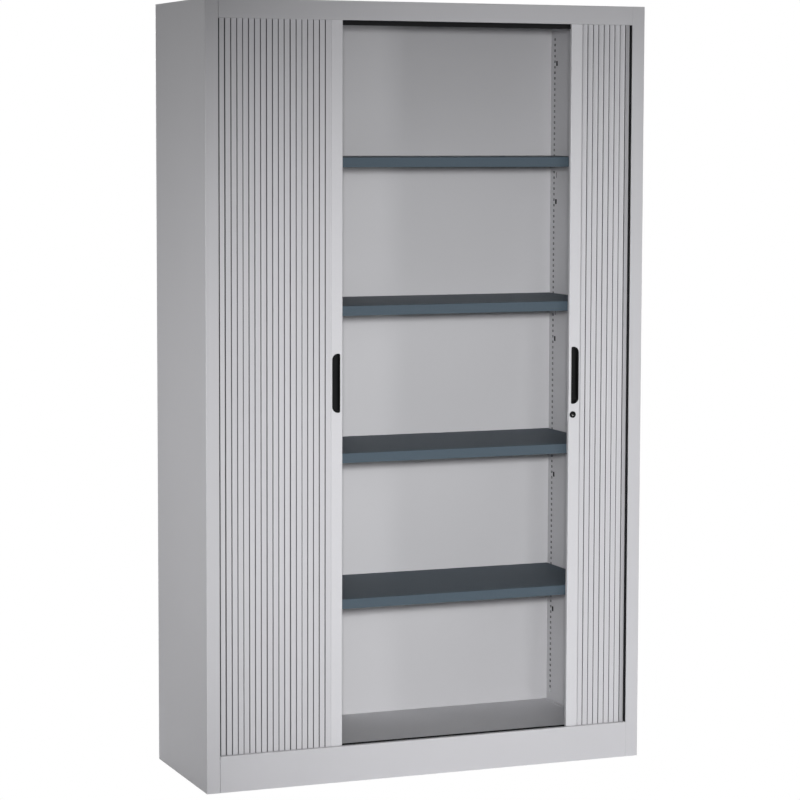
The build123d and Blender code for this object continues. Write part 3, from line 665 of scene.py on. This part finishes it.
def fitPostEdgingAndShade(side, direction):
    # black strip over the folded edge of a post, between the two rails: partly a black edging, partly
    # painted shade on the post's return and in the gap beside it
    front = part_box(side + "_side_panel")[0].y
    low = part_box("plinth_front")[1].z + edgingAndShade["railGap"]
    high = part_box("top_panel")[0].z - edgingAndShade["railGap"]
    outer = direction * edgingAndShade["innerHalf"]
    inner = outer - direction * edgingAndShade["thick"]
    start = front + edgingAndShade["frontGap"]
    end = front + edgingAndShade["returnDepth"] + edgingAndShade["lip"]
    lipStart = end - edgingAndShade["lip"]
    strip = addBox(side + "_post_edging_and_shade", (outer, start, low), (inner, end, high))
    cutAcross(strip, lipStart + edgingAndShade["foldGap"])
    pickFaces(strip, lambda face: face.normal.x * direction > facing and face.center.y > lipStart)
    extrudePicked((direction * edgingAndShade["hook"], 0, 0))
    leaveEditing()
    roundEdges(strip, edgingAndShade["round"])
    bpy.ops.object.shade_smooth_by_angle(angle=smoothAngle)
    fitPiece(strip, trackPlasticAndPaintedShade, "cabinet")


fitPostEdgingAndShade("left", -1)
fitPostEdgingAndShade("right", 1)
print("post edging and shade fitted")


linerFace = 0.518           # the liners' side towards the shelves
linerSheet = 0.001

slotShadeSheet = {
    "width": 0.060,
    "rearInset": 0.030,     # middle of the sheet, in from the liner's rear edge
    "thick": 0.0003,
    "foot": 0.014,          # clear of the tracks at both ends
}


def backSlotsWithShade(side, direction):
    # black sheet on the pocket side of a liner, behind its rear column of slots: painted shade that makes
    # the slots read dark
    low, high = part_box(side + "_liner")
    wall = direction * (linerFace + linerSheet)
    middle = high.y - slotShadeSheet["rearInset"]
    bottom, top = low.z + slotShadeSheet["foot"], high.z - slotShadeSheet["foot"]
    deselectAll()
    bpy.ops.mesh.primitive_plane_add(size=1, location=(wall, middle, (bottom + top) / 2),
                                     rotation=(0, direction * math.pi / 2, 0))
    shadeSheet = bpy.context.object
    shadeSheet.name = side + "_slot_shade_sheet"
    shadeSheet.scale = (top - bottom, slotShadeSheet["width"], 1)
    bpy.ops.object.transform_apply(location=True, rotation=True, scale=True)
    thickness = shadeSheet.modifiers.new("thickness", 'SOLIDIFY')
    thickness.thickness = slotShadeSheet["thick"]
    thickness.offset = 1
    bpy.ops.object.modifier_apply(modifier="thickness")
    fitPiece(shadeSheet, trackPlasticAndPaintedShade, "cabinet")


backSlotsWithShade("left", -1)
backSlotsWithShade("right", 1)
print("slots backed")


def plateOnWall(name, direction, proud, size):
    # upright plate on a liner's face, round the middle of y = 0 and z = 0
    wall = direction * linerFace
    width, height = size
    return addBox(name, (wall, -width / 2, -height / 2), (wall - direction * proud, width / 2, height / 2))


def joinCopies(side, name, model, inset, heights):
    # one black piece with a copy of the model at each height, in from both edges of a liner
    low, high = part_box(side + "_liner")
    made = []
    for y in (low.y + inset, high.y - inset):
        for z in heights:
            copy = model.copy()
            copy.data = model.data.copy()
            copy.data.transform(Matrix.Translation((0, y, z)))
            bpy.context.collection.objects.link(copy)
            made.append(copy)
    deselectAll()
    for copy in made:
        copy.select_set(True)
    bpy.context.view_layer.objects.active = made[0]
    bpy.ops.object.join()
    bpy.data.objects.remove(model)
    made[0].name = side + name
    fitPiece(made[0], trackPlasticAndPaintedShade, "cabinet")
    return len(made)


slotShadeFrame = {
    "first": 0.120,         # height of the lowest slot
    "pitch": 0.015,
    "count": 120,
    "columnInset": 0.024,   # columns of slots, in from both edges of the liner
    "outer": (0.0076, 0.0064),
    "hole": (0.0034, 0.0046),
    "proud": 0.0004,
    "round": 0.00012,
    "clear": 0.0045,        # kept from the shelf clips
}


def slotShadeFrameModel(direction):
    # a thin black frame round a slot: painted shade that makes the slot read as a larger dark hole
    (outerWide, outerTall), (holeWide, holeTall) = slotShadeFrame["outer"], slotShadeFrame["hole"]
    rim = (outerWide - holeWide) / 2
    shadeFrame = plateOnWall("slot_shade_frame", direction, slotShadeFrame["proud"], slotShadeFrame["outer"])
    for side in (-1, 1):
        face = max(shadeFrame.data.polygons, key=lambda face: (face.normal.x * side, face.area)).index
        pickFaces(shadeFrame, lambda other: other.index == face)
        bpy.ops.mesh.inset(thickness=rim)
        bpy.ops.transform.resize(value=(1, 1, holeTall / (outerTall - 2 * rim)))
        bpy.ops.object.mode_set(mode='OBJECT')
    reach = (outerTall + holeTall) / 4      # between the hole's edge and the outer edge

    def onHole(face):
        tall = max(abs(shadeFrame.data.vertices[index].co.z) for index in face.vertices)
        return abs(face.normal.x) > facing and tall < reach

    pickFaces(shadeFrame, onHole)
    bpy.ops.mesh.bridge_edge_loops()
    leaveEditing()
    roundEdges(shadeFrame, slotShadeFrame["round"], 1)
    return shadeFrame


def frameSlotsWithShade(side, direction):
    # black frames of painted shade in both columns of slots, but not where a shelf clip sits
    clips = [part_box(name) for name in nodesNamed("shelf_clips")]
    heights = [slotShadeFrame["first"] + slotShadeFrame["pitch"] * index for index in range(slotShadeFrame["count"])]
    half = slotShadeFrame["outer"][1] / 2 + slotShadeFrame["clear"]
    free = [z for z in heights if not any(clip[0].z - half < z < clip[1].z + half for clip in clips)]
    count = joinCopies(side, "_slot_shade_frames", slotShadeFrameModel(direction), slotShadeFrame["columnInset"], free)
    print(side, "slots framed with painted shade,", count, "shade frames")


frameSlotsWithShade("left", -1)
frameSlotsWithShade("right", 1)


keySlotShade = {
    "size": (0.0074, 0.0132),
    "columnInset": 0.0375,  # beside the slots, further from the edge of the liner
    "underShelf": 0.125,    # from the top of a shelf down to its key slot shades
    "highest": 1.840,
    "proud": 0.0009,
    "rim": 0.0014,
    "dish": 0.0002,
    "round": 0.0003,
}


def keySlotShadeModel(direction):
    # an upright black piece with a dished middle: painted shade that makes a key slot read as a dark mark
    keyShade = plateOnWall("key_slot_shade", direction, keySlotShade["proud"], keySlotShade["size"])
    pickFaces(keyShade, lambda face: face.normal.x * direction < -facing)
    bpy.ops.mesh.inset(thickness=keySlotShade["rim"])
    extrudePicked((direction * keySlotShade["dish"], 0, 0))
    leaveEditing()
    roundEdges(keyShade, keySlotShade["round"])
    return keyShade


def shadeKeySlots(side, direction):
    heights = [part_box("shelf_%d" % number)[1].z - keySlotShade["underShelf"] for number in (1, 2, 3, 4)]
    heights.append(keySlotShade["highest"])
    joinCopies(side, "_key_slot_shades", keySlotShadeModel(direction), keySlotShade["columnInset"], heights)


shadeKeySlots("left", -1)
shadeKeySlots("right", 1)
print("key slots shaded")


sill = {
    "halfLength": 0.516,    # ends short of the liners
    "front": -0.1862,       # behind the end bars
    "back": -0.1735,
    "footThick": 0.0022,
    "bladeBack": -0.1834,   # ahead of the lowest compartment
    "top": 0.0938,
    "round": 0.0007,
}


def layShadeStrip():
    # black strip along the front of the floor, just behind the bottom track: painted shade that stands in
    # for the dark gap behind the track
    half, floorTop = sill["halfLength"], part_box("floor_panel")[1].z
    low = floorTop + sill["footThick"]
    strip = addBox("floor_shade_strip", (-half, sill["front"], floorTop), (half, sill["back"], low))
    cutAcross(strip, sill["bladeBack"])
    pickFaces(strip, lambda face: face.normal.z > facing and face.center.y < sill["bladeBack"])
    extrudePicked((0, 0, sill["top"] - low))
    leaveEditing()
    roundEdges(strip, sill["round"])
    bpy.ops.object.shade_smooth_by_angle(angle=smoothAngle)
    fitPiece(strip, trackPlasticAndPaintedShade, "cabinet")


layShadeStrip()
print("floor shade strip laid")


def addDisc(name, sides, radius, depth, place, rotation):
    # a plain cylinder, to be worked into a piece
    deselectAll()
    bpy.ops.mesh.primitive_cylinder_add(vertices=sides, radius=radius, depth=depth, location=place,
                                        rotation=rotation)
    bpy.ops.object.transform_apply(location=True, rotation=True, scale=True)
    bpy.context.object.name = name
    return bpy.context.object


linerScrew = {
    "sides": 32,
    "headRadius": 0.0042,
    "headHeight": 0.0017,
    "dome": 0.000935,       # rounding of the head's edge
    "rim": 0.00077,         # flat ring round the driver recess
    "recessDepth": 0.0009,
    "height": 0.108,
    "columnInset": 0.024,   # in line with the rear column of slots
}


def driveLinerScrew(side, direction):
    # pan head under the lowest slot of a liner
    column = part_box(side + "_liner")[1].y - linerScrew["columnInset"]
    place = (direction * (linerFace - linerScrew["headHeight"] / 2), column, linerScrew["height"])
    head = addDisc(side + "_liner_foot_screw", linerScrew["sides"], linerScrew["headRadius"],
                   linerScrew["headHeight"], place, (0, -direction * math.pi / 2, 0))
    pickFaces(head, lambda face: face.normal.x * direction < -facing)
    bpy.ops.mesh.bevel(offset=linerScrew["dome"], segments=3, affect='EDGES')
    bpy.ops.object.mode_set(mode='OBJECT')
    front = max(head.data.polygons, key=lambda face: (-face.normal.x * direction, face.area)).index
    pickFaces(head, lambda face: face.index == front)
    bpy.ops.mesh.inset(thickness=linerScrew["rim"])
    extrudePicked((direction * linerScrew["recessDepth"], 0, 0))
    leaveEditing()
    bpy.ops.object.shade_smooth_by_angle(angle=smoothAngle)
    fitPiece(head, zincPlate, "cabinet")


driveLinerScrew("left", -1)
driveLinerScrew("right", 1)
print("liner screws driven")


lockCap = {
    "sides": 48,
    "outer": 0.00545,
    "inner": 0.0030,
    "proud": 0.0007,        # ahead of the barrel
    "sunk": 0.0003,         # and into it
    "round": 0.00035,
    "roundAngle": 50,       # degrees above which an edge is rounded
}


def capLock():
    # black cap round the middle of the barrel, which turns with it
    low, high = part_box("lock_barrel")
    middle = (low + high) / 2
    depth = lockCap["proud"] + lockCap["sunk"]
    place = (middle.x, low.y - lockCap["proud"] + depth / 2, middle.z)
    cap = addDisc("lock_cap", lockCap["sides"], lockCap["outer"], depth, place, (math.pi / 2, 0, 0))
    pickFaces(cap, lambda face: abs(face.normal.y) > facing)
    bpy.ops.mesh.inset(thickness=lockCap["outer"] - lockCap["inner"], use_individual=True)
    bpy.ops.mesh.bridge_edge_loops()
    leaveEditing()
    roundEdges(cap, lockCap["round"], sharperThan=lockCap["roundAngle"])
    bpy.ops.object.shade_smooth_by_angle(angle=smoothAngle)
    fitPiece(cap, blackGloss, "lock")


capLock()
print("lock capped")
